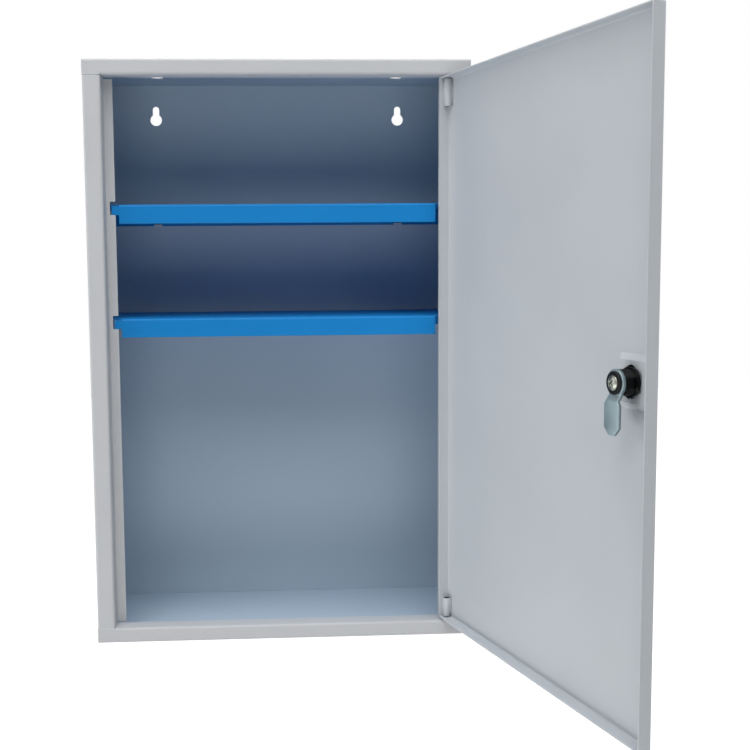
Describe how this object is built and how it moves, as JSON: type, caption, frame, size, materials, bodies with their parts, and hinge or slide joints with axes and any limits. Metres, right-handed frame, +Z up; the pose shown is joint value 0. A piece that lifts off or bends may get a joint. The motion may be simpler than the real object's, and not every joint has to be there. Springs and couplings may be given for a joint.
{
  "type": "lockable medicine cabinet",
  "caption": "Wall-hung steel medicine cabinet with an inset hinged tray door, a cam lock in a square recess, and lift-out shelves.",
  "frame": {"origin": "middle of the back face, on the wall", "axes": "+Z up, +Y out of the back face into the wall, +X to the right as one faces the front"},
  "size_m": [0.3641, 0.3835, 0.46],
  "materials": {
    "cabinet_white": "smooth light grey-white powder coat on steel sheet",
    "door_white": "smooth light grey-white powder coat on steel sheet",
    "shelf_blue": "smooth blue powder coat on steel sheet",
    "hinge_steel": "plain zinc-plated steel",
    "washer_nylon": "natural nylon",
    "lock_black": "black coating on die-cast metal",
    "plug_chrome": "bright plating",
    "wafer_brass": "plain brass",
    "cam_steel": "zinc-plated pressed steel",
    "washer_black": "black oxide on steel",
    "screw_chrome": "bright plating"
  },
  "bodies": {
    "cabinet": {"top_panel": "cabinet_white", "bottom_panel": "cabinet_white", "left_side": "cabinet_white", "right_side": "cabinet_white", "back_panel": "cabinet_white", "upper_shelf": "shelf_blue", "lower_shelf": "shelf_blue", "upper_hinge_pin": "hinge_steel", "lower_hinge_pin": "hinge_steel", "pivot_washer": "washer_nylon"},
    "door": {"door_panel": "door_white", "upper_hinge_barrel": "door_white", "lower_hinge_barrel": "door_white", "lock_housing": "lock_black", "lock_nut": "lock_black"},
    "lock_cylinder": {"lock_plug": "plug_chrome", "lock_wafers": "wafer_brass", "lock_cam": "cam_steel", "cam_washer": "washer_black", "cam_screw": "screw_chrome"}
  },
  "joints": [
    {"name": "door_hinge", "type": "hinge", "parent": "cabinet", "child": "door", "pos_m": [0.13275, -0.12615, 0], "axis": [0, 0, 1], "range_deg": [-107, 3]},
    {"name": "lock_turn", "type": "hinge", "parent": "door", "child": "lock_cylinder", "pos_m": [0.19522, -0.36518, 0.002], "axis": [-0.9563, -0.2924, 0], "range_deg": [0, 90]}
  ]
}
